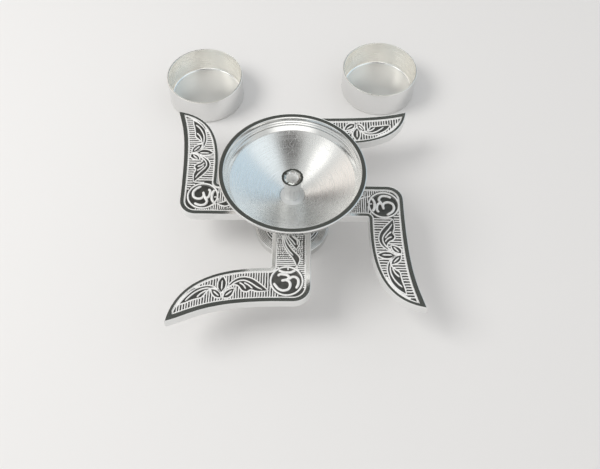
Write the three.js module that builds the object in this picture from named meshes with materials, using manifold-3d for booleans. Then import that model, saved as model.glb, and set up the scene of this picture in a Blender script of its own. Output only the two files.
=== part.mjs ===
// Tea light holder for a home altar: a cast plate with four scimitar arms on a turned foot, an oil bowl with
// a wick tube on top, and two loose cups that each take a tea light.
// Millimetres, +Z up, origin at the centre of the foot's underside, on the table. The first arm's stem points
// along -Y, and each next arm is a quarter turn further, counter-clockwise seen from above.
import * as THREE from 'three';
import { mergeVertices } from 'three/addons/utils/BufferGeometryUtils.js';
import Module from 'manifold-3d';

// Foot, turned from solid
const footHeight = 21.3;
const footRadius = 19.3;
const footEdgeHeight = 4.7;
const footWaistRadius = 7.5;
const footTopRadius = 10.5;
const footLandWidth = 3.6;
const footReliefDepth = 0.8;
const footCentreLand = 6;

// Arm plate, sand cast
const plateThickness = 4.9;
const castDraft = 0.3;
const stemWidth = 18.4;
const bladeWidth = 17.6;
const cornerRadius = 8;
const innerCornerRadius = 1.2;
const borderWidth = 1.8;
const fieldDepth = 0.7;
const fieldStart = 13;
// From the centre to the blade's outer edge, from the stem's middle to the tip, and from that edge out to the tip
const armReach = 55.7;
const armLength = 58.6;
const tipSweep = 7.3;
// Round medallion in each outer corner, with its least gaps to the border beside the stem and along the blade
const medallionRadius = 8;
const medallionRingWidth = 1.0;
const medallionStemGap = 1.4;
const medallionBladeGap = 0.1;
const medallionDepth = 1.1;
const ringBelowBorder = 0.15;
// The pattern was carved by hand, so each arm departs a little from those three, and its medallion from its place
const arms = [
  { reachMore: 1.2, lengthMore: -1.8, sweepMore: 3.6, gapMore: 1.1 },
  { reachMore: 0, lengthMore: 0.6, sweepMore: -0.4, gapMore: 0 },
  { reachMore: -1.7, lengthMore: 2.5, sweepMore: -2.0, gapMore: 0.3 },
  { reachMore: 0.5, lengthMore: -1.3, sweepMore: -1.2, gapMore: 1.3 },
].map(({ reachMore, lengthMore, sweepMore, gapMore }) => ({
  reach: armReach + reachMore,
  length: armLength + lengthMore,
  sweep: tipSweep + sweepMore,
  medallionIn: borderWidth + medallionBladeGap + gapMore + medallionRadius,
}));
// Handles of the blade's two curved edges, at the stem and at the tip
const innerRootHandle = 17;
const innerTipHandle = [3.8, 25.2];
const outerRootHandle = 40;
const outerTipHandle = [11.9, 3.4];

// Bowl, spun and turned
const bowlRadius = 35.2;
const rimWidth = 1.8;
const lipRadius = 0.6;
const wallThickness = 1.6;
const wallDrop = 7.1;
const wallLean = 2.6;
const dishDepth = 13.7;
const dishSag = 8.3;
const bowlFloorRadius = 6;
const bossRadius = 9;
const bossHeight = 2.4;
const grooveDepth = 0.3;
const grooveHeight = 4.5;

// Wick tube, cast
const tubeHeight = 14.8;
const tubeFlangeRadius = 5.15;
const tubeFlangeThickness = 1.0;
const tubeBaseRadius = 3.5;
const wickBoreRadius = 2.9;
const tubeWall = 1.4;
const tubeWeb = 1.5;
const countersink = 0.5;

// Centre stud that draws foot, plate, bowl and tube together
const studRadius = 2;
const studChamfer = 0.4;
const studInFoot = 12;
const studInTube = 5.5;
const threadClearance = 0.1;
const holeClearance = 0.3;
const drillPastStud = 0.8;

// Loose cups, pressed
const cupRadius = 21.8;
const cupHeight = 16.4;
const cupWall = 0.9;
const cupOuterCorner = 1.0;
const cupInnerCorner = 2.0;
const cupPlaces = {
  cup_left: [-52.1, 94.1],
  cup_right: [50.2, 101.8],
};

// Facets round each turned piece, and steps along the curves
const bowlSides = 56;
const footSides = 44;
const cupSides = 48;
const smallSides = 28;
const bladeSteps = 10;
const sweepSteps = 6;
const edgeSteps = 2;
const leastStep = 0.001;
const mergeDistance = 1e-4;

// Levels and radii that the pieces share
const plateTop = footHeight + plateThickness;
const bowlFloor = plateTop + bossHeight + wallThickness;
const dishTop = bowlFloor + dishDepth;
const rimTop = dishTop + wallDrop;
const rimOuter = bowlRadius - lipRadius;
const rimInner = rimOuter - rimWidth;
const dishRadius = rimInner - wallLean;
const tubeTop = bowlFloor + tubeHeight;
const studBottom = footHeight - studInFoot;
const studTop = bowlFloor + studInTube;
const tappedRadius = studRadius + threadClearance;
const throughRadius = studRadius + holeClearance;

const silver = { color: 0xdcdedf, metalness: 1 };
const polished = new THREE.MeshStandardMaterial({ ...silver, roughness: 0.14 });
const satin = new THREE.MeshStandardMaterial({ color: 0xe4e2da, metalness: 1, roughness: 0.32 });
const cast = new THREE.MeshStandardMaterial({ color: 0xb9bab8, metalness: 1, roughness: 0.38 });
const steel = new THREE.MeshStandardMaterial({ color: 0x8e9195, metalness: 1, roughness: 0.4 });

const wasm = await Module();
wasm.setup();

// The same surface with shared corners, and without the triangles that shrink to nothing on the axis
function closed(geometry) {
  const bare = new THREE.BufferGeometry();
  bare.setAttribute('position', geometry.getAttribute('position').clone());
  bare.setIndex(geometry.getIndex());
  const merged = mergeVertices(bare, mergeDistance);
  const corners = merged.getIndex().array;
  const kept = [];
  for (let i = 0; i < corners.length; i += 3) {
    const [a, b, c] = corners.slice(i, i + 3);
    if (a !== b && b !== c && c !== a) kept.push(a, b, c);
  }
  merged.setIndex(kept);
  return merged;
}

function toSolid(geometry) {
  const shell = closed(geometry);
  return new wasm.Manifold(new wasm.Mesh({
    numProp: 3,
    vertProperties: new Float32Array(shell.getAttribute('position').array),
    triVerts: new Uint32Array(shell.getIndex().array),
  }));
}

function fromSolid(solid) {
  const mesh = solid.getMesh();
  const geometry = new THREE.BufferGeometry();
  geometry.setAttribute('position', new THREE.BufferAttribute(new Float32Array(mesh.vertProperties), 3));
  geometry.setIndex(Array.from(mesh.triVerts));
  geometry.computeVertexNormals();
  return geometry;
}

// A profile bent towards a corner on its way to an end, in a few straight steps
function bend(path, cornerX, cornerY, endX, endY, steps) {
  const corner = new THREE.Vector2(cornerX, cornerY);
  const curve = new THREE.QuadraticBezierCurve(path.currentPoint.clone(), corner, new THREE.Vector2(endX, endY));
  for (const point of curve.getPoints(steps).slice(1)) path.lineTo(point.x, point.y);
}

// A profile of radius and height turned about the Z axis
function turned(path, sides) {
  const geometry = new THREE.LatheGeometry(path.getPoints(), sides);
  geometry.rotateX(Math.PI / 2);
  const shell = closed(geometry);
  shell.computeVertexNormals();
  return shell;
}

// An outline raised from one level to another
function raised(outline, bottom, top) {
  const geometry = new THREE.ExtrudeGeometry(new THREE.Shape(outline), {
    depth: top - bottom,
    bevelEnabled: false,
  });
  geometry.translate(0, 0, bottom);
  return geometry;
}

// A cast outline, whose walls lean outwards from its top to its bottom by the draft that frees it from the sand
function drafted(outline, bottom, top, draft) {
  const geometry = raised(outline, bottom, top);
  const wider = inset(outline, -draft);
  const places = geometry.getAttribute('position');
  for (let i = 0; i < places.count; i += 1) {
    if (places.getZ(i) > (bottom + top) / 2) continue;
    const place = new THREE.Vector2(places.getX(i), places.getY(i));
    const moved = wider[outline.findIndex((point) => point.distanceTo(place) < leastStep)];
    places.setXY(i, moved.x, moved.y);
  }
  return geometry;
}

// The least distance from a point to a closed outline
function distanceTo(outline, point) {
  return Math.min(...outline.map((start, i) => {
    const along = outline[(i + 1) % outline.length].clone().sub(start);
    const share = point.clone().sub(start).dot(along) / along.lengthSq();
    return start.clone().addScaledVector(along, THREE.MathUtils.clamp(share, 0, 1)).distanceTo(point);
  }));
}

// A counter-clockwise outline moved inwards with mitred corners, or outwards by a negative distance. Points that
// a sharp tip pushes too near to the other edge are left out.
function inset(outline, distance) {
  const moved = outline.map((point, i) => {
    const before = outline.at(i - 1);
    const after = outline[(i + 1) % outline.length];
    const arriving = point.clone().sub(before).normalize();
    const leaving = after.clone().sub(point).normalize();
    const inward = new THREE.Vector2(-arriving.y - leaving.y, arriving.x + leaving.x).normalize();
    const mitre = distance / Math.sqrt((1 + arriving.dot(leaving)) / 2);
    return point.clone().addScaledVector(inward, mitre);
  });
  const nearEnough = 0.98 * distance;
  return moved.filter((point) => distanceTo(outline, point) > nearEnough);
}

// Foot: a wide disc with a ring of beads that sweeps in to a waist and out again to the plate
function footGeometry() {
  const softEdge = 0.6;
  const landInside = footRadius - softEdge - footLandWidth;
  const beadRadius = 0.6;
  const beadCount = 3;
  const beadRise = 0.35;
  const beadInset = 4.2;
  const beadStart = footRadius - beadInset;
  const path = new THREE.Path();
  path.moveTo(0, 0);
  path.lineTo(footCentreLand, 0);
  path.lineTo(footCentreLand + footReliefDepth, footReliefDepth);
  path.lineTo(landInside - footReliefDepth, footReliefDepth);
  path.lineTo(landInside, 0);
  path.lineTo(footRadius - softEdge, 0);
  path.lineTo(footRadius, softEdge);
  path.lineTo(footRadius, footEdgeHeight - softEdge);
  bend(path, footRadius, footEdgeHeight, footRadius - softEdge, footEdgeHeight, edgeSteps);
  let level = footEdgeHeight + beadRise;
  path.lineTo(beadStart, level);
  for (let i = 0; i < beadCount; i += 1) {
    const inner = beadStart - 2 * beadRadius * (i + 1);
    level += beadRise;
    bend(path, inner + beadRadius, level + 2 * beadRadius, inner, level, 2 * edgeSteps);
  }
  const flangeHeight = 1.8;
  const sweepRise = 1;
  const waistLevel = (footHeight + level) / 2 + sweepRise;
  bend(path, footWaistRadius, level + sweepRise, footWaistRadius, waistLevel, sweepSteps);
  bend(path, footWaistRadius, footHeight - flangeHeight, footTopRadius, footHeight - flangeHeight, sweepSteps);
  path.lineTo(footTopRadius, footHeight);
  path.lineTo(tappedRadius, footHeight);
  path.lineTo(tappedRadius, studBottom - drillPastStud);
  path.lineTo(0, studBottom - drillPastStud);
  return turned(path, footSides);
}

// One arm in its own frame, stem towards -Y and blade towards -X, from the hub round to the hub
function armOutline(arm, hub) {
  const half = stemWidth / 2;
  const inner = arm.reach - bladeWidth;
  const tipX = -arm.length;
  const tipY = -arm.reach - arm.sweep;
  const fillet = innerCornerRadius;
  const path = new THREE.Path();
  path.moveTo(-half, -hub);
  path.lineTo(-half, -inner + fillet);
  path.quadraticCurveTo(-half, -inner, -half - fillet, -inner);
  path.bezierCurveTo(-half - innerRootHandle, -inner, tipX + innerTipHandle[0], tipY + innerTipHandle[1],
    tipX, tipY);
  path.bezierCurveTo(tipX + outerTipHandle[0], tipY + outerTipHandle[1], -outerRootHandle, -arm.reach,
    0, -arm.reach);
  path.lineTo(half - cornerRadius, -arm.reach);
  path.absarc(half - cornerRadius, -arm.reach + cornerRadius, cornerRadius, -Math.PI / 2, 0, false);
  path.lineTo(half, -hub);
  const points = path.getPoints(bladeSteps);
  return points.filter((point, i) => i === 0 || point.distanceTo(points[i - 1]) > leastStep);
}

// The medallion's raised ring, standing on the field round a deeper disc
function medallionRing() {
  const top = plateTop - ringBelowBorder;
  const rooted = 1;
  const bottom = plateTop - medallionDepth - rooted;
  const softEdge = 0.3;
  const inside = medallionRadius - medallionRingWidth;
  const path = new THREE.Path();
  path.moveTo(inside, bottom);
  path.lineTo(medallionRadius, bottom);
  path.lineTo(medallionRadius, top - softEdge);
  path.lineTo(medallionRadius - softEdge, top);
  path.lineTo(inside + softEdge, top);
  path.lineTo(inside, top - softEdge);
  path.lineTo(inside, bottom);
  return turned(path, smallSides);
}

function disc(radius, bottom, top) {
  const geometry = new THREE.CylinderGeometry(radius, radius, top - bottom, smallSides);
  geometry.rotateX(Math.PI / 2);
  geometry.translate(0, 0, (bottom + top) / 2);
  return geometry;
}

// Arm plate: four arms round a square hub, each with a border, a sunk field and a medallion
function armPlateGeometry() {
  const half = stemWidth / 2;
  const above = 1;
  const medallionX = half - borderWidth - medallionStemGap - medallionRadius;
  const outline = arms.flatMap((arm, i) => {
    const turn = i * Math.PI / 2;
    const centre = new THREE.Vector2();
    return armOutline(arm, half).slice(0, -1).map((point) => point.clone().rotateAround(centre, turn));
  });
  let plate = toSolid(drafted(outline, footHeight, plateTop, castDraft));
  arms.forEach((arm, i) => {
    const place = [medallionX, -arm.reach + arm.medallionIn, 0];
    const ring = toSolid(medallionRing()).translate(place);
    const sunkDisc = toSolid(disc(medallionRadius - medallionRingWidth / 2, plateTop - medallionDepth,
      plateTop + above)).translate(place);
    const field = toSolid(raised(inset(armOutline(arm, fieldStart), borderWidth), plateTop - fieldDepth,
      plateTop + above));
    const sunk = field.add(sunkDisc).subtract(ring);
    plate = plate.subtract(sunk.rotate([0, 0, i * 90]));
  });
  plate = plate.subtract(toSolid(disc(throughRadius, footHeight - above, plateTop + above)));
  return fromSolid(plate);
}

// Bowl: a flat rim with a rounded lip, a steep wall with a turned groove, and a shallow dish on a boss
function bowlGeometry() {
  const lipHeight = 3 * lipRadius;
  const grooveLevel = rimTop - grooveHeight;
  const wallSlope = wallLean / wallDrop;
  const grooveRadius = rimInner - wallSlope * grooveHeight;
  const dishEdge = 0.3;
  const dishMiddle = dishRadius * 0.66;
  // The underside keeps these shares of the wall's thickness from the dish: below, beside and under its edge
  const underSag = 1.4 * wallThickness;
  const underSide = 0.9 * wallThickness;
  const underEdge = 0.7 * wallThickness;
  const path = new THREE.Path();
  path.moveTo(throughRadius, plateTop);
  path.lineTo(bossRadius, plateTop);
  path.lineTo(bossRadius, plateTop + bossHeight);
  bend(path, dishMiddle + wallThickness / 2, dishTop - dishSag - underSag,
    dishRadius + underSide, dishTop - underEdge, sweepSteps);
  path.lineTo(rimOuter - lipRadius, rimTop - lipHeight);
  bend(path, bowlRadius, rimTop - lipHeight, bowlRadius, rimTop - lipRadius, edgeSteps);
  bend(path, bowlRadius, rimTop, rimOuter, rimTop, edgeSteps);
  path.lineTo(rimInner, rimTop);
  path.lineTo(grooveRadius + wallSlope * grooveDepth, grooveLevel + grooveDepth);
  path.lineTo(grooveRadius + grooveDepth, grooveLevel);
  path.lineTo(grooveRadius - wallSlope * grooveDepth, grooveLevel - grooveDepth);
  path.lineTo(dishRadius + dishEdge, dishTop + dishEdge);
  path.lineTo(dishRadius, dishTop - dishEdge);
  bend(path, dishMiddle, dishTop - dishSag, bowlFloorRadius, bowlFloor, sweepSteps);
  path.lineTo(throughRadius, bowlFloor);
  path.lineTo(throughRadius, plateTop);
  return turned(path, bowlSides);
}

// Wick tube: a tapered post with a flared top and a countersunk bore, tapped from below
function wickTubeGeometry() {
  const flangeUnder = tubeTop - tubeFlangeThickness;
  const flare = 1.6;
  const tapEnd = studTop + drillPastStud;
  const boreFloor = tapEnd + tubeWeb;
  const topRadius = wickBoreRadius + tubeWall;
  const path = new THREE.Path();
  path.moveTo(0, tapEnd);
  path.lineTo(tappedRadius, tapEnd);
  path.lineTo(tappedRadius, bowlFloor);
  path.lineTo(tubeBaseRadius, bowlFloor);
  path.lineTo(topRadius, flangeUnder - flare);
  bend(path, topRadius, flangeUnder, tubeFlangeRadius, flangeUnder, edgeSteps + 1);
  path.lineTo(tubeFlangeRadius, tubeTop);
  path.lineTo(wickBoreRadius + countersink, tubeTop);
  path.lineTo(wickBoreRadius, tubeTop - countersink);
  path.lineTo(wickBoreRadius, boreFloor);
  path.lineTo(0, boreFloor);
  return turned(path, smallSides);
}

function centreStudGeometry() {
  const path = new THREE.Path();
  path.moveTo(0, studBottom);
  path.lineTo(studRadius - studChamfer, studBottom);
  path.lineTo(studRadius, studBottom + studChamfer);
  path.lineTo(studRadius, studTop - studChamfer);
  path.lineTo(studRadius - studChamfer, studTop);
  path.lineTo(0, studTop);
  return turned(path, smallSides);
}

// Cup: a straight thin wall with a rounded rim, and a flat floor with a fillet round it
function cupGeometry() {
  const inside = cupRadius - cupWall;
  const rimRound = cupWall / 2;
  const path = new THREE.Path();
  path.moveTo(0, 0);
  path.lineTo(cupRadius - cupOuterCorner, 0);
  bend(path, cupRadius, 0, cupRadius, cupOuterCorner, edgeSteps);
  path.lineTo(cupRadius, cupHeight - rimRound);
  bend(path, cupRadius, cupHeight, cupRadius - rimRound, cupHeight, edgeSteps);
  bend(path, inside, cupHeight, inside, cupHeight - rimRound, edgeSteps);
  path.lineTo(inside, cupWall + cupInnerCorner);
  bend(path, inside, cupWall, inside - cupInnerCorner, cupWall, 2 * edgeSteps);
  path.lineTo(0, cupWall);
  return turned(path, cupSides);
}

function piece(name, geometry, material) {
  const mesh = new THREE.Mesh(geometry, material);
  mesh.name = name;
  return mesh;
}

const lamp = new THREE.Group();
lamp.add(piece('foot', footGeometry(), polished));
lamp.add(piece('arm_plate', armPlateGeometry(), cast));
lamp.add(piece('bowl', bowlGeometry(), polished));
lamp.add(piece('wick_tube', wickTubeGeometry(), cast));
lamp.add(piece('centre_stud', centreStudGeometry(), steel));

const holder = new THREE.Group();
holder.add(lamp);
for (const [name, [x, y]] of Object.entries(cupPlaces)) {
  const cup = piece(name, cupGeometry(), satin);
  cup.position.set(x, y, 0);
  holder.add(cup);
}

export default holder;
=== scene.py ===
import math
import random

import bmesh
import bpy
from mathutils import Matrix, Quaternion, Vector
from mathutils.geometry import interpolate_bezier, intersect_line_line_2d
from mathutils.noise import noise


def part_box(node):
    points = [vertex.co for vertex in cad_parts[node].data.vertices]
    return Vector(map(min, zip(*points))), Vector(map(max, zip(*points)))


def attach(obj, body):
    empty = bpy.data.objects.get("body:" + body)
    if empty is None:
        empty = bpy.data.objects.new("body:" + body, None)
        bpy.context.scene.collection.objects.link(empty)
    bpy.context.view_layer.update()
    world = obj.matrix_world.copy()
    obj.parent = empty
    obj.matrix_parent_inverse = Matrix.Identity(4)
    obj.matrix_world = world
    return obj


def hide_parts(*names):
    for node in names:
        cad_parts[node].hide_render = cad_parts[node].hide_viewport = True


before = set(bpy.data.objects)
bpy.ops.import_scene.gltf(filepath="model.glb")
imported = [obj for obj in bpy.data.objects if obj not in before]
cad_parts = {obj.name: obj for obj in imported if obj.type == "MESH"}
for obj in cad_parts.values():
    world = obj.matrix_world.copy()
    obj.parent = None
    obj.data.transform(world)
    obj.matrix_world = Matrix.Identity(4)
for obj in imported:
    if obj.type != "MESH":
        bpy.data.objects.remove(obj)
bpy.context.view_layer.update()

# Every size below is in millimetres, and each finished mesh is brought to metres in one step.
MM = 0.001


# The camera
# It looks down over the front arm at the angle of a hand-held picture, a touch turned about its own axis.
camera_data = bpy.data.cameras.new("camera")
camera_data.sensor_width = 36
camera_data.lens = 43.62
camera_data.clip_start = 0.01
camera = bpy.data.objects.new("camera", camera_data)
bpy.context.scene.collection.objects.link(camera)
bpy.context.scene.camera = camera
camera_target = Vector((4.27, -3.93, 0)) * MM
camera_distance = 384.2 * MM
camera_azimuth = math.radians(-0.80)
camera_elevation = math.radians(57.75)
camera_roll = math.radians(1.51)
to_camera = Vector((
    math.sin(camera_azimuth) * math.cos(camera_elevation),
    -math.cos(camera_azimuth) * math.cos(camera_elevation),
    math.sin(camera_elevation),
))
camera.location = camera_target + camera_distance * to_camera
camera.rotation_mode = "QUATERNION"
camera.rotation_quaternion = (-to_camera).to_track_quat("-Z", "Y") @ Quaternion((0, 0, 1), camera_roll)


# The floor
# A wide pale sheet, matt and even, that keeps the object's shadow.
def add_node(tree, kind, inputs=None, **settings):
    """A node with its settings and its inputs, each a value or the socket that feeds it"""
    node = tree.nodes.new(kind)
    for name, value in settings.items():
        setattr(node, name, value)
    for key, value in (inputs or {}).items():
        if isinstance(value, bpy.types.NodeSocket):
            tree.links.new(value, node.inputs[key])
        else:
            node.inputs[key].default_value = value
    return node


def new_material(name, metallic=1.0, anisotropic=0.0):
    """A material with its node tree and its Principled shader, which the caller feeds"""
    material = bpy.data.materials.new(name)
    material.use_nodes = True
    shader = material.node_tree.nodes["Principled BSDF"]
    shader.inputs["Metallic"].default_value = metallic
    shader.inputs["Anisotropic"].default_value = anisotropic
    return material, material.node_tree, shader


floor_half = 60.0
floor_colour = (0.80, 0.79, 0.78, 1)
floor_bmesh = bmesh.new()
bmesh.ops.create_grid(floor_bmesh, x_segments=1, y_segments=1, size=floor_half)
floor_mesh = bpy.data.meshes.new("floor")
floor_bmesh.to_mesh(floor_mesh)
floor_bmesh.free()
floor = bpy.data.objects.new("floor", floor_mesh)
bpy.context.scene.collection.objects.link(floor)
floor_material, _, floor_shader = new_material("matt_floor", metallic=0.0)
floor_shader.inputs["Base Color"].default_value = floor_colour
floor_shader.inputs["Roughness"].default_value = 0.9
floor_mesh.materials.append(floor_material)


# The light
# A large soft lamp on the left, a weak wide one on the right, and a pale room that polished metal mirrors:
# cool on the right, warm on the left, bright low down in front and behind, and dark overhead.
def soft_lamp(name, direction, distance, size, power, colour):
    """A round lamp that faces the object from a direction, and isn't seen in polished metal"""
    data = bpy.data.lights.new(name, "AREA")
    data.shape = "DISK"
    data.size = size
    data.energy = power
    data.color = colour
    lamp = bpy.data.objects.new(name, data)
    bpy.context.scene.collection.objects.link(lamp)
    lamp.location = Vector(direction).normalized() * distance
    lamp.rotation_mode = "QUATERNION"
    lamp.rotation_quaternion = (-lamp.location).to_track_quat("-Z", "Y")
    lamp.visible_glossy = False


soft_lamp("key_lamp", (-0.65, -0.02, 0.76), 0.9, 0.5, 3.6, (1.0, 0.99, 0.97))
soft_lamp("fill_lamp", (0.68, 0.18, 0.70), 1.0, 1.2, 0.6, (0.92, 0.96, 1.0))

world = bpy.data.worlds.new("studio")
bpy.context.scene.world = world
world.use_nodes = True
sky = world.node_tree
sky_direction = add_node(sky, "ShaderNodeTexCoord").outputs["Generated"]


def sky_patch(under, direction, inner, outer, colour):
    """The colour under it, with a soft round patch of another colour in one direction of the room"""
    near = add_node(sky, "ShaderNodeVectorMath", {0: sky_direction, 1: Vector(direction).normalized()},
                    operation="DOT_PRODUCT")
    share = add_node(sky, "ShaderNodeMapRange", {
        "Value": near.outputs["Value"],
        "From Min": math.cos(math.radians(outer)),
        "From Max": math.cos(math.radians(inner)),
    }, interpolation_type="SMOOTHSTEP")
    mixed = add_node(sky, "ShaderNodeMix", {0: share.outputs["Result"], 6: under, 7: colour},
                     data_type="RGBA")
    return mixed.outputs[2]


# Each patch by its direction, the degrees from there to which it is full and at which it ends, and its colour
room_patches = [
    ((1, 0.6, 0.35), 20, 65, (0.58, 0.71, 0.80, 1)),
    ((-0.85, 0.62, 0.2), 15, 48, (1.0, 0.94, 0.88, 1)),
    ((0.06, 0.97, 0.24), 8, 28, (1.6, 1.65, 1.62, 1)),
    ((-0.42, 0.81, 0.4), 6, 24, (0.2, 0.18, 0.17, 1)),
    ((0.54, -0.22, 0.81), 6, 24, (0.92, 1.0, 1.04, 1)),
    ((0, -0.95, 0.3), 12, 40, (1.4, 1.39, 1.36, 1)),
    ((0, 0.56, 0.83), 17, 28, (0.08, 0.085, 0.078, 1)),
    ((0.05, -0.5, 0.87), 7, 22, (0.01, 0.005, 0.005, 1)),
    ((-0.56, -0.14, 0.81), 2, 14, (1.9, 1.88, 1.82, 1)),
]
room = (0.66, 0.67, 0.66, 1)
for patch in room_patches:
    room = sky_patch(room, *patch)
rays = add_node(sky, "ShaderNodeLightPath")
plain = add_node(sky, "ShaderNodeMix", {
    0: rays.outputs["Is Glossy Ray"],
    6: (0.68, 0.68, 0.68, 1),
    7: room,
}, data_type="RGBA").outputs[2]
seen = add_node(sky, "ShaderNodeMix", {
    0: rays.outputs["Is Camera Ray"],
    6: plain,
    7: (0.56, 0.56, 0.555, 1),
}, data_type="RGBA").outputs[2]
sky.links.new(seen, sky.nodes["Background"].inputs["Color"])
bpy.context.scene.view_settings.view_transform = "Standard"


# The foot
# Turned from solid metal and silver plated: a thick disc with fine ridges and three beads, which sweeps in
# to a waist and out again to the flange under the plate.
def node_box(node):
    """The lowest and highest corner of a part of the frame, in millimetres"""
    low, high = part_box(node)
    return low / MM, high / MM


def bend(profile, corner, end, steps):
    """The profile carried on in a curve that turns towards a corner on its way to an end"""
    start, corner, end = Vector(profile[-1]), Vector(corner), Vector(end)
    handle = start.lerp(corner, 2 / 3)
    return profile + [tuple(point) for point in interpolate_bezier(
        start, handle, end.lerp(corner, 2 / 3), end, steps + 1)[1:]]


def spun(profile, steps):
    """A profile of (radius, height) turned once round the Z axis, its faces in the same order each run"""
    mesh = bmesh.new()
    turns = [2 * math.pi * step / steps for step in range(steps)]
    rings = [[mesh.verts.new((radius * math.cos(turn), radius * math.sin(turn), height)) for turn in turns]
             for radius, height in profile]
    for lower, upper in zip(rings, rings[1:]):
        for corners in zip(lower, lower[1:] + lower[:1], upper[1:] + upper[:1], upper):
            mesh.faces.new(corners)
    bmesh.ops.remove_doubles(mesh, verts=mesh.verts, dist=0.001)
    bmesh.ops.recalc_face_normals(mesh, faces=mesh.faces)
    return mesh


def make_piece(mesh, name, material, crease=35):
    """An object from a finished mesh, brought to metres, smooth but for edges sharper than the crease"""
    bmesh.ops.scale(mesh, verts=mesh.verts, vec=(MM, MM, MM))
    data = bpy.data.meshes.new(name)
    mesh.to_mesh(data)
    mesh.free()
    data.shade_smooth()
    data.set_sharp_from_angle(angle=math.radians(crease))
    data.materials.append(material)
    made = bpy.data.objects.new(name, data)
    bpy.context.scene.collection.objects.link(made)
    return made


def new_group(name, inputs, outputs):
    """An empty shader group, its tree, and the nodes that hold its inputs and outputs"""
    group = bpy.data.node_groups.new(name, "ShaderNodeTree")
    for label, kind, value in inputs:
        socket = group.interface.new_socket(label, in_out="INPUT", socket_type=kind)
        if value is not None:
            socket.default_value = value
    for label, kind in outputs:
        group.interface.new_socket(label, in_out="OUTPUT", socket_type=kind)
    return group, add_node(group, "NodeGroupInput").outputs, add_node(group, "NodeGroupOutput").inputs


def place_group(tree, group, inputs):
    """One use of a shader group, with its own values"""
    return add_node(tree, "ShaderNodeGroup", inputs, node_tree=group).outputs


# Fine rings that a lathe or a polishing wheel leaves, from 0 to 1 over the surface
turning, given, put = new_group("turning_marks", [
    ("Place", "NodeSocketVector", None),
    ("Rings per metre", "NodeSocketFloat", 2500.0),
], [("Mark", "NodeSocketFloat")])
flat = add_node(turning, "ShaderNodeVectorMath", {0: given["Place"], 1: (1, 1, 0)}, operation="MULTIPLY")
radius = add_node(turning, "ShaderNodeVectorMath", {0: flat.outputs[0]}, operation="LENGTH")
apart = add_node(turning, "ShaderNodeSeparateXYZ", {0: given["Place"]})
angle = add_node(turning, "ShaderNodeMath", {0: apart.outputs["Y"], 1: apart.outputs["X"]},
                 operation="ARCTAN2")
slant = add_node(turning, "ShaderNodeMath", {0: radius.outputs["Value"], 1: apart.outputs["Z"]},
                 operation="ADD")
ring = add_node(turning, "ShaderNodeMath", {0: slant.outputs[0], 1: given["Rings per metre"]},
                operation="MULTIPLY")
around = add_node(turning, "ShaderNodeMath", {0: angle.outputs[0], 1: 1.5}, operation="MULTIPLY")
along = add_node(turning, "ShaderNodeCombineXYZ", {0: ring.outputs[0], 1: around.outputs[0]})
streak = add_node(turning, "ShaderNodeTexNoise", {"Vector": along.outputs[0], "Scale": 1.0, "Detail": 3.0})
turning.links.new(streak.outputs["Fac"], put["Mark"])

# Haze, finger marks and thin scratches on plated metal that is handled, from 0 to 1 over the surface
handling, given, put = new_group("handling_marks", [
    ("Place", "NodeSocketVector", None),
    ("Clouds per metre", "NodeSocketFloat", 60.0),
], [("Haze", "NodeSocketFloat"), ("Scratch", "NodeSocketFloat")])
cloud = add_node(handling, "ShaderNodeTexNoise", {
    "Vector": given["Place"], "Scale": given["Clouds per metre"], "Detail": 4.0, "Roughness": 0.6})
bent = add_node(handling, "ShaderNodeTexNoise", {"Vector": given["Place"], "Scale": 90.0, "Detail": 2.0})
stretched = add_node(handling, "ShaderNodeVectorMath", {0: given["Place"], 1: (900, 130, 400)},
                     operation="MULTIPLY")
moved = add_node(handling, "ShaderNodeVectorMath", {0: stretched.outputs[0], 1: bent.outputs["Color"]},
                 operation="ADD")
thin = add_node(handling, "ShaderNodeTexVoronoi", {"Vector": moved.outputs[0], "Scale": 1.0},
                feature="DISTANCE_TO_EDGE")
line = add_node(handling, "ShaderNodeMapRange", {
    "Value": thin.outputs["Distance"], "From Min": 0.0, "From Max": 0.035, "To Min": 1.0, "To Max": 0.0})
handling.links.new(cloud.outputs["Fac"], put["Haze"])
handling.links.new(line.outputs["Result"], put["Scratch"])


def turned_silver(name, colour, smoothest, roughest, centre=(0, 0, 0), rings=2500.0, ring_depth=0.003,
                  anisotropic=0.3, metallic=1.0, scratching=0.06):
    """Plated metal finished on a lathe, with rings and haze in its roughness and the rings in its relief"""
    material, tree, shader = new_material(name, metallic=metallic, anisotropic=anisotropic)
    shader.inputs["Anisotropic Rotation"].default_value = 0.25
    place = add_node(tree, "ShaderNodeTexCoord").outputs["Object"]
    centred = add_node(tree, "ShaderNodeMapping", {"Vector": place, "Location": -Vector(centre) * MM})
    mark = place_group(tree, turning, {"Place": centred.outputs[0], "Rings per metre": rings})["Mark"]
    worn = place_group(tree, handling, {"Place": centred.outputs[0]})
    both = add_node(tree, "ShaderNodeMix", {0: 0.4, 2: mark, 3: worn["Haze"]}, data_type="FLOAT")
    rough = add_node(tree, "ShaderNodeMapRange", {
        "Value": both.outputs[0], "From Min": 0.3, "From Max": 0.7, "To Min": smoothest, "To Max": roughest})
    scratched = add_node(tree, "ShaderNodeMath", {
        0: worn["Scratch"], 1: scratching, 2: rough.outputs["Result"]}, operation="MULTIPLY_ADD")
    tree.links.new(scratched.outputs[0], shader.inputs["Roughness"])
    dulled = [channel * 0.93 for channel in colour[:3]] + [1]
    tint = add_node(tree, "ShaderNodeMix", {0: both.outputs[0], 6: colour, 7: dulled}, data_type="RGBA")
    tree.links.new(tint.outputs[2], shader.inputs["Base Color"])
    relief = add_node(tree, "ShaderNodeBump", {"Height": mark, "Strength": 1.0, "Distance": ring_depth * MM})
    tree.links.new(relief.outputs[0], shader.inputs["Normal"])
    turned = add_node(tree, "ShaderNodeTangent", direction_type="RADIAL", axis="Z")
    tree.links.new(turned.outputs[0], shader.inputs["Tangent"])
    return material


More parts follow.
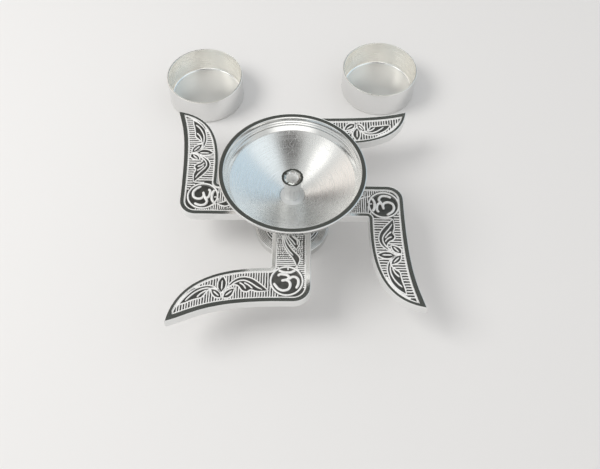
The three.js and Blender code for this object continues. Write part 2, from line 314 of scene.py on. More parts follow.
def refinish(piece, material, chosen):
    """Another finish on the faces that are chosen by their middle, in millimetres"""
    piece.data.materials.append(material)
    for face in piece.data.polygons:
        if chosen(face.center / MM):
            face.material_index = len(piece.data.materials) - 1


foot_radius = node_box("foot")[1].x
foot_height = node_box("foot")[1].z
foot_edge_height = 4.7
foot_waist = 7.5
foot_top_radius = 10.5
foot_flange = 1.8
foot_edge_round = 0.6
land_width = 3.6
relief_depth = 0.8
bead_radius = 0.6
bead_rise = 0.35
bead_start = foot_radius - 4.2
bead_count = 3
ridge_count = 4
ridge_pitch = 0.75
ridge_height = 0.16
ridge_sink = 0.1
sweep_rise = 1.0
centre_land = 6.0
tap_radius = 2.1
tap_end = 8.5
profile = [(0, 0), (centre_land, 0), (centre_land + relief_depth, relief_depth),
           (foot_radius - foot_edge_round - land_width - relief_depth, relief_depth),
           (foot_radius - foot_edge_round - land_width, 0), (foot_radius - foot_edge_round, 0)]
profile = bend(profile, (foot_radius, 0), (foot_radius, foot_edge_round), 4)
profile.append((foot_radius, foot_edge_height - foot_edge_round))
profile = bend(profile, (foot_radius, foot_edge_height),
               (foot_radius - foot_edge_round, foot_edge_height), 5)
level = foot_edge_height + bead_rise
for _ in range(ridge_count):
    across = profile[-1][0] - ridge_pitch
    profile = bend(profile, (across + ridge_pitch / 2, level + 2 * ridge_height),
                   (across, level - ridge_sink), 6)
profile.append((bead_start, level))
for bead in range(bead_count):
    inside = bead_start - 2 * bead_radius * (bead + 1)
    level += bead_rise
    profile = bend(profile, (inside + bead_radius, level + 2 * bead_radius), (inside, level), 8)
waist_level = (foot_height + level) / 2 + sweep_rise
flange_level = foot_height - foot_flange
profile = bend(profile, (foot_waist, level + sweep_rise), (foot_waist, waist_level), 20)
profile = bend(profile, (foot_waist, flange_level), (foot_top_radius, flange_level), 20)
profile += [(foot_top_radius, foot_height), (tap_radius, foot_height), (tap_radius, tap_end), (0, tap_end)]
foot_silver = turned_silver("foot_silver", (0.78, 0.78, 0.77, 1), 0.12, 0.22, rings=1800.0)
foot_groove_dark = turned_silver("foot_groove_dark", (0.22, 0.21, 0.20, 1), 0.3, 0.4, rings=1800.0)
foot = make_piece(spun(profile, 160), "turned_foot", foot_silver)


def in_groove(middle):
    """Whether a place is in a groove beside a ridge or bead, which is given a darker finish"""
    from_centre = middle.xy.length
    if middle.z < foot_edge_height or from_centre < bead_start - 2 * bead_radius * bead_count:
        return False
    if from_centre > bead_start:
        passed = (foot_radius - foot_edge_round - from_centre) / ridge_pitch
    else:
        passed = (bead_start - from_centre) / (2 * bead_radius)
    return abs(passed - round(passed)) < 0.2


# The grooves beside the ridges and beads are finished darker
refinish(foot, foot_groove_dark, in_groove)
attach(foot, "stand")
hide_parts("foot")


# The arm plate
# Cast in one piece: a straight stem and a curved blade on each side of the hub, with a flat polished border
# round a field that lies lower. The mould leaves the side walls rough, and wider at the bottom.
plate_bottom = node_box("arm_plate")[0].z
plate_top = node_box("arm_plate")[1].z
stem_half = 9.2
blade_width = 17.6
corner_radius = 8.0
inner_corner_radius = 1.2
border_width = 1.8
field_depth = 0.7
field_start = 13.0
inner_root_handle = 17.0
inner_tip_handle = Vector((3.8, 25.2))
outer_root_handle = 40.0
outer_tip_handle = Vector((11.9, 3.4))
# How far the field lies off the middle of its border: sideways, towards the hub, and more so towards the tip
field_aside = -0.2
field_inward = 0.1
field_lean = 0.008
# Each arm's reach from the centre, length from the stem's middle to the tip, and sweep of the tip beyond
arm_sizes = [(56.9, 56.8, 10.9), (55.7, 59.2, 6.9), (54.0, 61.1, 5.3), (56.2, 57.3, 6.1)]
medallion_radius = 8.0
medallion_ring_width = 1.0
medallion_x = -2.0
medallion_from_edge = [11.0, 9.9, 10.2, 11.2]
medallion_depth = 1.1
cast_draft = 0.3


def curve_points(*knots, steps):
    """The points of a Bezier curve from its start, two handles and end, without its first point"""
    return interpolate_bezier(*(Vector(knot) for knot in knots), steps + 1)[1:]


def arm_outline(size, hub, steps=26):
    """One arm in its own frame, stem towards -Y and blade towards -X, from the hub round to the hub"""
    reach, length, sweep = size
    inner = blade_width - reach
    tip = Vector((-length, -reach - sweep))
    fillet = inner_corner_radius
    points = [Vector((-stem_half, -hub)), Vector((-stem_half, inner + fillet))]
    points += curve_points(points[-1], (-stem_half, inner + fillet / 3), (-stem_half - fillet / 3, inner),
                           (-stem_half - fillet, inner), steps=5)
    points += curve_points(points[-1], (-stem_half - inner_root_handle, inner), tip + inner_tip_handle, tip,
                           steps=steps)
    points += curve_points(tip, tip + outer_tip_handle, (-outer_root_handle, -reach), (0, -reach),
                           steps=steps)
    centre = Vector((stem_half - corner_radius, corner_radius - reach))
    corner_steps = 8
    for step in range(corner_steps + 1):
        turn = math.pi / 2 * step / corner_steps
        points.append(centre + corner_radius * Vector((math.sin(turn), -math.cos(turn))))
    return points + [Vector((stem_half, -hub))]


def distance_to(outline, point):
    """The least distance from a point to a closed outline"""
    least = math.inf
    for start, stop in zip(outline, outline[1:] + outline[:1]):
        along = stop - start
        share = min(1, max(0, (point - start).dot(along) / along.length_squared))
        least = min(least, (point - start - share * along).length)
    return least


def inset(outline, distance):
    """The outline moved inwards, without the points that a sharp tip pushes too near to its other edge"""
    moved = []
    for before, point, after in zip(outline[-1:] + outline[:-1], outline, outline[1:] + outline[:1]):
        arriving, leaving = (point - before).normalized(), (after - point).normalized()
        inward = Vector((-arriving.y - leaving.y, arriving.x + leaving.x)).normalized()
        moved.append(point + inward * distance / math.sqrt((1 + arriving.dot(leaving)) / 2))
    return [point for point in moved if distance_to(outline, point) >= 0.97 * distance]


def turned_by(points, quarter):
    """Flat points turned by quarter turns about the hub"""
    turn = Matrix.Rotation(quarter * math.pi / 2, 2)
    return [turn @ point for point in points]


def loop(mesh, points, height):
    """A closed ring of edges at one height"""
    corners = [mesh.verts.new((point.x, point.y, height)) for point in points]
    return [mesh.edges.new(pair) for pair in zip(corners, corners[1:] + corners[:1])]


def circle(centre, size, steps=56):
    """The points of a circle, counter-clockwise"""
    turns = (2 * math.pi * step / steps for step in range(steps))
    return [centre + size * Vector((math.cos(turn), math.sin(turn))) for turn in turns]


outlines = [arm_outline(size, stem_half) for size in arm_sizes]
fields = [[point + Vector((field_aside, field_inward - field_lean * point.x))
           for point in inset(arm_outline(size, field_start - border_width), border_width)]
          for size in arm_sizes]
centres = [Vector((medallion_x, edge - size[0])) for size, edge in zip(arm_sizes, medallion_from_edge)]
plate_outline = [point for i, outline in enumerate(outlines) for point in turned_by(outline[:-1], i)]

edge_round = 0.2
side_wobble = 0.1
side_waves = 0.5
border_slope = 0.3
under_ring = 0.25
plate = bmesh.new()


def cast_ring(inward, height, wobble=side_wobble):
    """A ring of edges round the plate that wanders a little, as a cast side does"""
    points = inset(plate_outline, inward)
    for point in points:
        point.x += wobble * noise(Vector((point.x * side_waves, point.y * side_waves, height)))
        point.y += wobble * noise(Vector((point.y * side_waves, point.x * side_waves, height + 9)))
    return loop(plate, points, height)


plate_height = plate_top - plate_bottom
rings = [cast_ring(edge_round - cast_draft, plate_bottom)]
for share in (0.04, 0.25, 0.5, 0.75):
    rings.append(cast_ring((share - 1) * cast_draft, plate_bottom + share * plate_height))
for turn in (0, 30, 60, 90):
    leaned = edge_round * (1 - math.cos(math.radians(turn)))
    raised = edge_round * (1 - math.sin(math.radians(turn)))
    rings.append(cast_ring(leaned, plate_top - raised, side_wobble / 2))
for lower, upper in zip(rings, rings[1:]):
    bmesh.ops.bridge_loops(plate, edges=lower + upper)
bmesh.ops.triangle_fill(plate, edges=rings[0], use_beauty=True)
top_edges = list(rings[-1])
disc_radius = medallion_radius - medallion_ring_width - under_ring
for i, (field, centre) in enumerate(zip(fields, centres)):
    upper = loop(plate, turned_by(field, i), plate_top)
    lower = loop(plate, turned_by(inset(field, border_slope), i), plate_top - field_depth)
    rim = loop(plate, turned_by(circle(centre, disc_radius), i), plate_top - field_depth)
    disc = loop(plate, turned_by(circle(centre, disc_radius), i), plate_top - medallion_depth)
    bmesh.ops.bridge_loops(plate, edges=upper + lower)
    bmesh.ops.bridge_loops(plate, edges=rim + disc)
    bmesh.ops.triangle_fill(plate, edges=lower + rim, use_beauty=True)
    bmesh.ops.triangle_fill(plate, edges=disc, use_beauty=True)
    top_edges += upper
bmesh.ops.triangle_fill(plate, edges=top_edges, use_beauty=True)
bmesh.ops.recalc_face_normals(plate, faces=plate.faces)

# Bright where it is polished, and rough on the sides. The sunk fields are darker: oxide that the polishing
# wheel doesn't reach, and painted shade in the recess.
# Levels between which the sunk field darkens with oxide and painted shade: fully below the first, not at all
# above the second
darkest_level = plate_top - 0.3
undarkened_level = plate_top - 0.12
cast_silver, tree, shader = new_material("cast_silver")
here = add_node(tree, "ShaderNodeTexCoord")
height = add_node(tree, "ShaderNodeSeparateXYZ", {0: here.outputs["Object"]}).outputs["Z"]
facing = add_node(tree, "ShaderNodeSeparateXYZ", {0: here.outputs["Normal"]}).outputs["Z"]
level_face = add_node(tree, "ShaderNodeMapRange", {"Value": facing, "From Min": 0.75, "From Max": 0.98})
sunk = add_node(tree, "ShaderNodeMapRange", {
    "Value": height, "From Min": darkest_level * MM, "From Max": undarkened_level * MM,
    "To Min": 1.0, "To Max": 0.0})
# Oxide and painted shade: level faces below the border top get the dark colour
oxide_and_shade = add_node(tree, "ShaderNodeMath", {0: level_face.outputs["Result"], 1: sunk.outputs["Result"]},
                 operation="MULTIPLY")
patchy = add_node(tree, "ShaderNodeTexNoise", {
    "Vector": here.outputs["Object"], "Scale": 320.0, "Detail": 3.0})
dark = add_node(tree, "ShaderNodeMix", {
    0: patchy.outputs["Fac"], 6: (0.10, 0.10, 0.095, 1), 7: (0.24, 0.235, 0.22, 1)}, data_type="RGBA")
tone = add_node(tree, "ShaderNodeMix", {
    0: oxide_and_shade.outputs[0], 6: (0.84, 0.84, 0.83, 1), 7: dark.outputs[2]}, data_type="RGBA")
tree.links.new(tone.outputs[2], shader.inputs["Base Color"])
worn = place_group(tree, handling, {"Place": here.outputs["Object"]})
polished = add_node(tree, "ShaderNodeMapRange", {
    "Value": worn["Haze"], "From Min": 0.3, "From Max": 0.7, "To Min": 0.10, "To Max": 0.20})
walls = add_node(tree, "ShaderNodeMix", {
    0: level_face.outputs["Result"], 2: 0.36, 3: polished.outputs["Result"]}, data_type="FLOAT")
rough = add_node(tree, "ShaderNodeMix", {0: oxide_and_shade.outputs[0], 2: walls.outputs[0], 3: 0.5}, data_type="FLOAT")
tree.links.new(rough.outputs[0], shader.inputs["Roughness"])
bare = add_node(tree, "ShaderNodeMapRange", {
    "Value": level_face.outputs["Result"], "To Min": 0.45, "To Max": 1.0})
tree.links.new(bare.outputs["Result"], shader.inputs["Metallic"])
grain = add_node(tree, "ShaderNodeTexNoise", {
    "Vector": here.outputs["Object"], "Scale": 1100.0, "Detail": 4.0})
unpolished = add_node(tree, "ShaderNodeMapRange", {
    "Value": level_face.outputs["Result"], "To Min": 1.0, "To Max": 0.06})
sand = add_node(tree, "ShaderNodeMath", {0: grain.outputs["Fac"], 1: unpolished.outputs["Result"]},
                operation="MULTIPLY")
pits = add_node(tree, "ShaderNodeBump", {"Height": sand.outputs[0], "Strength": 1.0, "Distance": 0.12 * MM})
tree.links.new(pits.outputs[0], shader.inputs["Normal"])
arm_plate = make_piece(plate, "cast_arm_plate", cast_silver, crease=14)
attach(arm_plate, "stand")
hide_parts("arm_plate")


# The carving on the arms
# Cast with the plate from a mould carved by hand, so no two arms are quite alike: ribs over the whole field,
# two leaves and a flower on the blade, a curled leaf on the stem, and a sacred sign in a ringed medallion.
field_level = plate_top - field_depth
rib_pitch = [1.2, 1.45, 1.4, 1.4]
stem_pitch = 1.05
rib_width = 0.7
rib_height = 0.62
rib_gap = 0.42
rib_waver = 0.07
least_rib = 0.4
least_stem_rib = 0.8
rib_overlap = 0.1
grain_gap = 0.3
grain_slant = 0.25
# Where the ribs begin beside a medallion, and how far from it the stem's ribs are broken into grains
rib_start = 4.0
grain_start = 12.0
tip_margin = 4.5
line_width = 0.86
line_height = 0.66
bead_width = 0.8
bead_height = 0.5
band_width = 1.3
band_inset = 1.1
band_end = -42.0
dot_radius = 0.5
dot_pitch = 1.15
dot_rise = 0.15
dots_width = 1.6
top_margin = 0.6
sign_width = 1.75
sign_height = 0.92
ring_height = 0.62
flower_x = -32.0
flower_reach = 14.0
pattern_margin = 0.8
# How far the flower of each arm stands to the side of the front arm's
flower_shift = [0, 1.0, -2.0, 2.7]
wander = random.Random(7)
carving = bmesh.new()


def smooth(points, steps=4):
    """The points of a curve that passes through the given ones"""
    points = [Vector(point) for point in points]
    ends = [points[0], *points, points[-1]]
    path = []
    for before, start, stop, after in zip(ends, ends[1:], ends[2:], ends[3:]):
        path += interpolate_bezier(start, start + (stop - before) / 6, stop - (after - start) / 6, stop,
                                   steps + 1)[:-1]
    return path + [points[-1]]


def raised_lines(mesh, lines, width, height, level, quarter, taper=0.5, closed=False, sides=1):
    """Rounded ridges along flat paths, of one width and height, that stand on a level"""
    curve = bpy.data.curves.new("ridges", "CURVE")
    curve.dimensions = "3D"
    curve.bevel_depth = 1.0
    curve.bevel_resolution = sides
    curve.use_fill_caps = True
    for path in lines:
        spline = curve.splines.new("POLY")
        spline.points.add(len(path) - 1)
        spline.use_cyclic_u = closed
        last = len(path) - 1
        for i, point in enumerate(path):
            spline.points[i].co = (point.x, point.y, 0, 1)
            thin = 1 if closed else min(1, taper + 4.0 * min(i, last - i) / last)
            spline.points[i].radius = thin * width / 2
    holder = bpy.data.objects.new("ridges", curve)
    ridges = bpy.data.meshes.new_from_object(holder)
    place = (Matrix.Translation((0, 0, level)) @ Matrix.Rotation(quarter * math.pi / 2, 4, "Z")
             @ Matrix.Diagonal((1, 1, 2 * height / width, 1)))
    ridges.transform(place)
    mesh.from_mesh(ridges)
    bpy.data.objects.remove(holder)
    bpy.data.curves.remove(curve)
    bpy.data.meshes.remove(ridges)


def span(field, x):
    """The lowest and highest place where a line across the blade meets the field's edge"""
    found = []
    for start, stop in zip(field, field[1:] + field[:1]):
        if (start.x - x) * (stop.x - x) <= 0 and start.x != stop.x:
            found.append(start.y + (x - start.x) / (stop.x - start.x) * (stop.y - start.y))
    return min(found), max(found)


def fitted(points, arm):
    """Points of the pattern, drawn on the front arm, at their places on another arm"""
    moved = []
    for x, y in points:
        if x > -stem_half:
            moved.append(Vector((x, min(y + arm_sizes[0][0] - arm_sizes[arm][0], -field_start - top_margin))))
            continue
        place = x + flower_shift[arm] * max(0, 1 - abs(x - flower_x) / flower_reach)
        low, high = span(fields[arm], place)
        moved.append(Vector((place, min(low + y - span(fields[0], x)[0], high - pattern_margin))))
    return moved


def outside(start, stop, shapes, gap, shortest):
    """The stretches of a bar outside closed shapes, each cut short by a gap and drawn by an unsteady hand"""
    covered = []
    reached, whole = 0.0, (stop - start).length
    for shape in shapes:
        hits = (intersect_line_line_2d(start, stop, a, b) for a, b in zip(shape, shape[1:] + shape[:1]))
        found = sorted((hit - start).length for hit in hits if hit)
        found += [whole] * (len(found) % 2)
        covered += zip(found[::2], found[1::2])
    along = (stop - start).normalized()
    stretches = []
    for first, last in sorted(covered) + [(whole + gap, whole + gap)]:
        length = first - gap - reached
        if length > shortest:
            steps = 1 + round(length / 1.3)
            stretches.append([start + (reached + length * step / steps) * along
                              + along.orthogonal() * wander.uniform(-rib_waver, rib_waver)
                              for step in range(steps + 1)])
        reached = max(reached, last + gap)
    return stretches


def grains(stretch):
    """A bar broken into short grains that lie a little askew"""
    start, whole = stretch[0], (stretch[-1] - stretch[0]).length
    along = (stretch[-1] - start).normalized()
    broken = []
    reached = wander.uniform(0.0, 0.4)
    while reached < whole - least_rib:
        length = wander.uniform(0.5, 1.1)
        askew = along.orthogonal() * wander.uniform(-grain_slant, grain_slant)
        broken.append([start + reached * along + askew, start + min(whole, reached + length) * along - askew])
        reached += length + grain_gap
    return broken


# Leaves and petals by their two sides, base to tip, and the veins inside them, as drawn on the front arm
leaves = [
    ([(-29.6, -49.4), (-27.6, -46.6), (-25.0, -44.7), (-21.8, -44.0), (-18.4, -44.7), (-15.4, -46.6),
      (-12.6, -49.0), (-10.3, -51.2)],
     [(-29.6, -49.4), (-26.6, -48.4), (-24.4, -49.0), (-22.7, -51.3), (-20.5, -52.0), (-18.5, -51.0),
      (-15.2, -51.8), (-10.3, -51.2)]),
    ([(-34.6, -49.8), (-37.0, -49.0), (-39.8, -49.0), (-42.6, -49.9), (-45.8, -51.5), (-48.6, -53.9),
      (-50.8, -56.6), (-52.2, -59.4)],
     [(-34.6, -49.8), (-37.6, -50.8), (-39.4, -53.0), (-41.0, -55.2), (-43.4, -56.0), (-46.0, -57.0),
      (-49.0, -58.4), (-52.2, -59.4)]),
    ([(-32.2, -52.7), (-33.9, -50.2), (-34.0, -47.2), (-33.0, -44.9), (-31.9, -43.4)],
     [(-32.2, -52.7), (-30.4, -50.2), (-30.0, -47.2), (-30.9, -44.9), (-31.9, -43.4)]),
    ([(-31.9, -55.3), (-34.4, -55.2), (-36.4, -53.4), (-37.2, -50.5)],
     [(-31.9, -55.3), (-32.5, -52.7), (-34.6, -50.9), (-37.2, -50.5)]),
    ([(-31.3, -55.3), (-28.8, -55.3), (-26.8, -53.2), (-25.9, -49.9)],
     [(-31.3, -55.3), (-30.7, -52.4), (-28.6, -50.6), (-25.9, -49.9)]),
    ([(-4.5, -14.4), (-4.4, -20.0), (-4.1, -25.6), (-2.2, -29.6), (0.0, -32.6), (1.5, -35.2), (2.7, -38.4)],
     [(-4.0, -14.4), (-3.5, -20.0), (-2.4, -24.0), (-0.6, -27.2), (1.3, -29.8), (3.4, -32.0), (4.2, -34.0),
      (3.7, -36.2), (2.7, -38.4)]),
    ([(-3.2, -14.4), (-2.6, -20.6), (-1.2, -23.6), (0.6, -26.4), (2.3, -28.8)],
     [(-2.4, -14.4), (-1.0, -19.4), (1.6, -21.8), (3.6, -23.8), (3.7, -26.2), (2.3, -28.8)]),
]
veins = [
    [(-29.0, -50.3), (-26.6, -47.6), (-24.0, -46.2), (-21.3, -46.0), (-18.4, -47.4), (-15.8, -49.3),
     (-13.3, -50.6)],
    [(-24.0, -47.2), (-22.1, -48.4), (-20.9, -50.4)],
    [(-21.8, -47.1), (-19.4, -48.6), (-17.8, -50.2)],
    [(-37.4, -50.2), (-40.8, -50.7), (-43.8, -52.3), (-46.4, -54.6), (-48.4, -57.0)],
    [(-38.8, -51.4), (-41.4, -53.0), (-43.2, -55.1)],
    [(-32.1, -50.9), (-32.0, -46.0)],
    [(-33.2, -54.2), (-35.8, -51.8)],
    [(-30.1, -54.0), (-27.2, -51.3)],
    [(-4.0, -17.0), (-3.8, -22.0), (-3.0, -26.0), (-1.2, -29.4), (0.9, -32.0)],
    [(-2.8, -17.0), (-1.6, -21.2), (0.4, -23.8), (1.9, -26.2)],
    [(-1.8, -17.4), (0.6, -21.4), (2.7, -23.6), (2.8, -26.2)],
]
stalks = [
    [(-32.1, -52.9), (-33.9, -50.9), (-35.6, -49.9)],
    [(-32.1, -52.9), (-30.4, -50.9), (-28.8, -49.3)],
    [(2.7, -38.4), (3.0, -39.6), (3.9, -40.6)],
]
# The sacred sign in each medallion, from the medallion's centre
sign = [
    [(-3.8, 5.8), (-2.2, 4.9), (-0.2, 4.6), (1.9, 4.7), (4.0, 5.8)],
    [(0.2, 6.4), (0.9, 6.45)],
    [(-4.2, 2.5), (-3.2, 3.5), (-1.4, 3.5), (0.4, 3.0), (1.1, 1.9), (0.4, 0.9), (-0.8, 0.5), (-2.6, 0.1)],
    [(-0.8, 0.5), (0.9, 0.0), (1.7, -1.5), (1.4, -3.5), (0.2, -4.7), (-1.9, -5.0), (-3.8, -4.1), (-5.0, -2.7),
     (-6.0, -1.2)],
    [(1.0, 0.9), (2.4, 2.1), (3.9, 2.2), (5.2, 1.2), (5.6, -0.6), (5.2, -2.4), (4.4, -3.9)],
]


def ribs(arm, shapes):
    """Short bars side by side that fill the field, across the blade and across the stem"""
    field, centre = fields[arm], centres[arm]
    shapes = shapes + [circle(centre, medallion_radius)]
    bars = []
    x = centre.x - rib_start
    while x > -arm_sizes[arm][1] + tip_margin:
        low, high = span(field, x)
        if x > -stem_half - inner_corner_radius:
            high = centre.y
        lean = wander.uniform(-0.12, 0.12)
        bars += outside(Vector((x, low - rib_overlap)), Vector((x + lean, high + rib_overlap)), shapes,
                        rib_gap, least_rib)
        x -= rib_pitch[arm] * wander.uniform(0.92, 1.08)
    edge = stem_half - border_width
    y = -field_start - 0.4
    while y > centre.y - rib_start:
        lean = wander.uniform(-0.1, 0.1)
        right = edge if abs(y - centre.y) < medallion_radius + 0.5 else edge - dots_width
        stretches = outside(Vector((right, y)), Vector((-edge, y + lean)), shapes, rib_gap, least_stem_rib)
        if y > centre.y + grain_start:
            stretches = [grain for stretch in stretches for grain in grains(stretch)]
        bars += stretches
        y -= stem_pitch * wander.uniform(0.9, 1.1)
    return bars


for arm, (field, centre) in enumerate(zip(fields, centres)):
    sides = [(fitted(smooth(left), arm), fitted(smooth(right), arm)) for left, right in leaves]
    raised_lines(carving, ribs(arm, [left + right[-2::-1] for left, right in sides]), rib_width, rib_height,
                 field_level, arm, taper=1)
    raised_lines(carving, [inset(field, bead_width / 2 + 0.1)], bead_width, bead_height, field_level, arm,
                 closed=True)
    band = [point for point in inset(field, band_inset)
            if point.x < band_end and point.y > sum(span(field, point.x)) / 2]
    raised_lines(carving, [band], band_width, line_height, field_level, arm)
    lines = [side for pair in sides for side in pair] + [fitted(smooth(path), arm) for path in veins + stalks]
    raised_lines(carving, lines, line_width, line_height, field_level, arm)
    raised_lines(carving, [[centre + point for point in smooth(path)] for path in sign], sign_width,
                 sign_height, plate_top - medallion_depth, arm, taper=0.75, sides=2)
    raised_lines(carving, [circle(centre, medallion_radius - medallion_ring_width / 2)],
                 medallion_ring_width + 0.1, ring_height, field_level, arm, closed=True)
    y = -field_start - top_margin
    while y > centre.y - 2:
        spot = Vector((stem_half - border_width - 0.75, y, field_level + dot_rise))
        bmesh.ops.create_icosphere(carving, subdivisions=1, radius=dot_radius, matrix=Matrix.Translation(
            Matrix.Rotation(arm * math.pi / 2, 4, "Z") @ spot))
        y -= dot_pitch * wander.uniform(0.92, 1.08)

# Frosted by the plating and bright on the ridges; darker where they meet the field, from oxide there and
# painted shade in the crease
foot_of_ridge = field_level + 0.16
top_of_ridge = field_level + 0.46
carved_silver, tree, shader = new_material("carved_silver", metallic=0.2)
place = add_node(tree, "ShaderNodeTexCoord").outputs["Object"]
height = add_node(tree, "ShaderNodeSeparateXYZ", {0: place}).outputs["Z"]
frost = add_node(tree, "ShaderNodeTexNoise", {"Vector": place, "Scale": 900.0, "Detail": 3.0})
uneven = add_node(tree, "ShaderNodeMath", {0: frost.outputs["Fac"], 1: 0.25 * MM, 2: height},
                  operation="MULTIPLY_ADD")
undarkened_share = add_node(tree, "ShaderNodeMapRange", {
    "Value": uneven.outputs[0], "From Min": foot_of_ridge * MM, "From Max": top_of_ridge * MM})
# Oxide and painted shade: dark at the foot of each ridge, full silver towards its top
tone = add_node(tree, "ShaderNodeMix", {
    0: undarkened_share.outputs["Result"], 6: (0.20, 0.195, 0.185, 1), 7: (0.98, 0.975, 0.96, 1)}, data_type="RGBA")
tree.links.new(tone.outputs[2], shader.inputs["Base Color"])
rough = add_node(tree, "ShaderNodeMapRange", {"Value": frost.outputs["Fac"], "To Min": 0.22, "To Max": 0.42})
tree.links.new(rough.outputs["Result"], shader.inputs["Roughness"])
pits = add_node(tree, "ShaderNodeBump", {
    "Height": frost.outputs["Fac"], "Strength": 1.0, "Distance": 0.05 * MM})
tree.links.new(pits.outputs[0], shader.inputs["Normal"])
bmesh.ops.remove_doubles(carving, verts=carving.verts, dist=0.0001)
bmesh.ops.recalc_face_normals(carving, faces=carving.faces)
arm_carving = make_piece(carving, "arm_carving", carved_silver, crease=75)
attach(arm_carving, "stand")


# The bowl
# Spun from sheet and turned on a lathe, then plated: a flat polished rim with a rounded lip, a steep wall
# with a groove, and a wide dish whose floor is clamped between the wick tube and the arm plate.
bowl_high = node_box("bowl")[1]
rim_top = bowl_high.z
bowl_radius = bowl_high.x
lip = 0.6
rim_width = 1.8
wall = 1.6
wall_drop = 7.1
wall_lean = 2.6
dish_depth = 13.7
dish_sag = 8.3
bowl_floor_radius = 6.0
boss_radius = 9.0
boss_height = 2.4
groove_depth = 0.3
groove_height = 4.5
# How far below the rim two fine lines are scored, and the height of each
fine_lines = (2.0, 3.1)
fine_line = 0.16
stud_hole = 2.3
rim_outer = bowl_radius - lip
rim_inner = rim_outer - rim_width
dish_radius = rim_inner - wall_lean
dish_top = rim_top - wall_drop
dish_floor = dish_top - dish_depth
dish_middle = 0.66 * dish_radius
slope = wall_lean / wall_drop
groove_level = rim_top - groove_height
groove_radius = rim_inner - slope * groove_height
profile = [(stud_hole, plate_top), (boss_radius, plate_top), (boss_radius, plate_top + boss_height)]
profile = bend(profile, (dish_middle + wall / 2, dish_top - dish_sag - 1.4 * wall),
               (dish_radius + 0.9 * wall, dish_top - 0.7 * wall), 24)
profile.append((rim_outer - lip, rim_top - 3 * lip))
profile = bend(profile, (bowl_radius, rim_top - 3 * lip), (bowl_radius, rim_top - lip), 6)
profile = bend(profile, (bowl_radius, rim_top), (rim_outer, rim_top), 6)
profile.append((rim_inner + 0.15, rim_top))
profile = bend(profile, (rim_inner, rim_top), (rim_inner - 0.1, rim_top - 0.2), 3)
for drop in fine_lines:
    at, down = rim_inner - slope * drop, rim_top - drop
    profile += [(at + 0.05, down + fine_line), (at + fine_line, down), (at - 0.05, down - fine_line)]
profile.append((groove_radius + slope * groove_depth, groove_level + groove_depth))
profile = bend(profile, (groove_radius + groove_depth, groove_level),
               (groove_radius - slope * groove_depth, groove_level - groove_depth), 5)
profile.append((dish_radius + 0.35 * slope + 0.1, dish_top + 0.45))
profile = bend(profile, (dish_radius - 0.15, dish_top + 0.1), (dish_radius - 0.1, dish_top - 0.1), 4)
profile = bend(profile, (dish_middle, dish_top - dish_sag), (bowl_floor_radius, dish_floor), 40)
profile += [(stud_hole, dish_floor), (stud_hole, plate_top)]
bowl_silver = turned_silver("bowl_silver", (0.88, 0.88, 0.87, 1), 0.08, 0.16, rings=2200.0)
dish_silver = turned_silver("dish_silver", (0.95, 0.95, 0.94, 1), 0.22, 0.32, rings=1600.0, ring_depth=0.009,
                            anisotropic=0.5, scratching=0.12)
floor_silver = turned_silver("bowl_floor_silver", (0.88, 0.89, 0.89, 1), 0.4, 0.5, metallic=0.5)
bowl = make_piece(spun(profile, 192), "turned_bowl", bowl_silver)
# The dish and its floor are brushed, and the rim, the steep wall and the underside are polished
refinish(bowl, dish_silver, lambda middle: dish_floor - 0.1 < middle.z < dish_top)
refinish(bowl, floor_silver, lambda middle: abs(middle.z - dish_floor) < 0.05)
for face in bowl.data.polygons:
    if face.normal.z < 0.5:
        face.material_index = 0
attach(bowl, "stand")
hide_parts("bowl")


# The wick tube
# A small casting with a flared top and a bore for the wick, left rough and bright from the plating.
tube_low, tube_high = node_box("wick_tube")
tube_top = tube_high.z
flange_radius = tube_high.x
flange_thickness = 1.0
tube_flare = 1.6
tube_waist = 4.3
tube_foot = 3.5
wick_radius = 2.9
wick_floor = tube_top - 7.0
countersink = 0.5
tap_top = tube_low.z + 6.3
tube_steps = 12
tube_wobble = 0.22
top_wobble = 0.12
profile = [(0, tap_top), (tap_radius, tap_top), (tap_radius, tube_low.z), (tube_foot, tube_low.z)]
flange_under = tube_top - flange_thickness
profile += [(tube_foot + (tube_waist - tube_foot) * step / tube_steps,
             tube_low.z + (flange_under - tube_flare - tube_low.z) * step / tube_steps)
            for step in range(1, tube_steps + 1)]
profile = bend(profile, (tube_waist, flange_under), (flange_radius, flange_under), 6)
profile = bend(profile, (flange_radius + 0.1, tube_top - flange_thickness / 2), (flange_radius, tube_top), 4)
profile += [(wick_radius + countersink, tube_top), (wick_radius, tube_top - countersink)]
profile += [(wick_radius, wick_floor), (0, wick_floor)]
tube_mesh = spun(profile, 72)
for corner in tube_mesh.verts:
    if corner.co.z > tube_low.z + 0.5:
        outward = Vector((corner.co.x, corner.co.y, 0))
        corner.co += tube_wobble * noise(corner.co * 1.1) * outward.normalized()
        corner.co.z += top_wobble * noise(corner.co * 0.8 + Vector((9, 9, 9)))
tube_silver, tube_tree, tube_shader = new_material("tube_silver", metallic=0.4)
place = add_node(tube_tree, "ShaderNodeTexCoord").outputs["Object"]
grain = add_node(tube_tree, "ShaderNodeTexNoise", {"Vector": place, "Scale": 650.0, "Detail": 4.0})
tube_shader.inputs["Base Color"].default_value = (0.98, 0.98, 0.97, 1)
rough = add_node(tube_tree, "ShaderNodeMapRange", {
    "Value": grain.outputs["Fac"], "To Min": 0.3, "To Max": 0.5})
tube_tree.links.new(rough.outputs["Result"], tube_shader.inputs["Roughness"])
pits = add_node(tube_tree, "ShaderNodeBump", {
    "Height": grain.outputs["Fac"], "Strength": 1.0, "Distance": 0.7 * MM})
tube_tree.links.new(pits.outputs[0], tube_shader.inputs["Normal"])
wick_tube = make_piece(tube_mesh, "cast_wick_tube", tube_silver, crease=50)
tube_ring = turned_silver("tube_ring", (0.60, 0.60, 0.58, 1), 0.08, 0.16, ring_depth=0.01)
refinish(wick_tube, tube_ring, lambda middle: middle.z > tube_top - 0.3
         and wick_radius + 0.2 < middle.xy.length < flange_radius)
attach(wick_tube, "stand")
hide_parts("wick_tube")


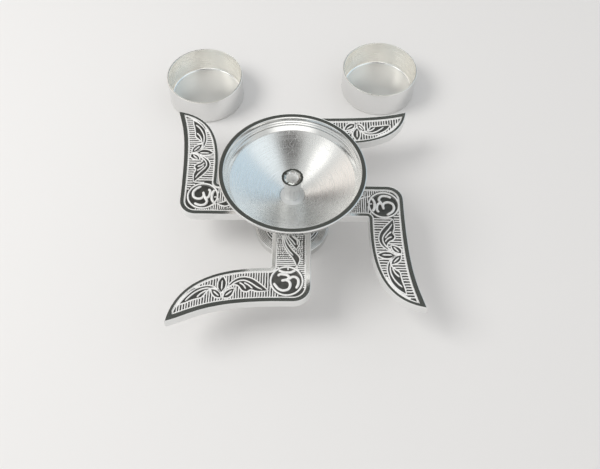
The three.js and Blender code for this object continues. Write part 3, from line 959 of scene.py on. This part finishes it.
# The centre stud
# A plain steel rod with a rolled thread, hidden inside, that draws foot, plate, bowl and tube together.
thread_pitch = 0.7
stud_steel, stud_tree, stud_shader = new_material("stud_steel")
place = add_node(stud_tree, "ShaderNodeTexCoord").outputs["Object"]
thread = add_node(stud_tree, "ShaderNodeTexWave", {"Vector": place, "Scale": 1 / (thread_pitch * MM) / 20},
                  wave_type="BANDS", bands_direction="Z")
stud_shader.inputs["Base Color"].default_value = (0.56, 0.57, 0.58, 1)
rough = add_node(stud_tree, "ShaderNodeMapRange", {
    "Value": thread.outputs["Fac"], "To Min": 0.3, "To Max": 0.45})
stud_tree.links.new(rough.outputs["Result"], stud_shader.inputs["Roughness"])
cut = add_node(stud_tree, "ShaderNodeBump", {
    "Height": thread.outputs["Fac"], "Strength": 1.0, "Distance": 0.2 * MM})
stud_tree.links.new(cut.outputs[0], stud_shader.inputs["Normal"])
stud_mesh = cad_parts["centre_stud"].data
stud_mesh.materials.clear()
stud_mesh.materials.append(stud_steel)


# The cups
# Two loose cups pressed from sheet, each for one tea light: polished outside, brushed inside with a frosted
# floor, a bright corner round the floor and a rounded rim.
cup_wall = 0.9
cup_outer_corner = 1.0
cup_inner_corner = 2.0
for side in ("left", "right"):
    node = "cup_" + side
    low, high = node_box(node)
    centre = ((low.x + high.x) / 2, (low.y + high.y) / 2, 0)
    cup_radius = (high.x - low.x) / 2
    cup_height = high.z
    inside = cup_radius - cup_wall
    rim_round = cup_wall / 2
    profile = [(0, 0), (cup_radius - cup_outer_corner, 0)]
    profile = bend(profile, (cup_radius, 0), (cup_radius, cup_outer_corner), 5)
    profile.append((cup_radius, cup_height - rim_round))
    profile = bend(profile, (cup_radius, cup_height), (cup_radius - rim_round, cup_height), 5)
    profile = bend(profile, (inside, cup_height), (inside, cup_height - rim_round), 5)
    profile.append((inside, cup_wall + cup_inner_corner))
    profile = bend(profile, (inside, cup_wall), (inside - cup_inner_corner, cup_wall), 8)
    profile.append((0, cup_wall))
    cup_mesh = spun(profile, 160)
    bmesh.ops.translate(cup_mesh, verts=cup_mesh.verts, vec=centre)
    cup_silver = turned_silver(node + "_outside", (0.84, 0.84, 0.835, 1), 0.07, 0.16, centre=centre)
    cup_satin = turned_silver(node + "_inside", (0.99, 0.97, 0.92, 1), 0.22, 0.34, centre=centre,
                              rings=1500.0, ring_depth=0.001, anisotropic=0.5, metallic=0.88, scratching=0.02)
    cup = make_piece(cup_mesh, "pressed_" + node, cup_silver)
    cup_frost = turned_silver(node + "_floor", (0.98, 0.975, 0.95, 1), 0.3, 0.42, centre=centre,
                              rings=1500.0, ring_depth=0.001, anisotropic=0.5, metallic=0.66, scratching=0.02)
    cup_bright = turned_silver(node + "_corner", (1.0, 1.0, 0.98, 1), 0.08, 0.14, centre=centre)
    refinish(cup, cup_satin, lambda middle: middle.z > cup_height - 0.8 * rim_round
             or middle.z > 0.9 * cup_wall
             and (middle.xy - Vector(centre[:2])).length < cup_radius - 0.6 * cup_wall)
    refinish(cup, cup_frost, lambda middle: abs(middle.z - cup_wall) < 0.1)
    refinish(cup, cup_bright, lambda middle: cup_wall + 0.1 < middle.z < cup_wall + 0.9
             and (middle.xy - Vector(centre[:2])).length < inside)
    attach(cup, node)
    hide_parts(node)
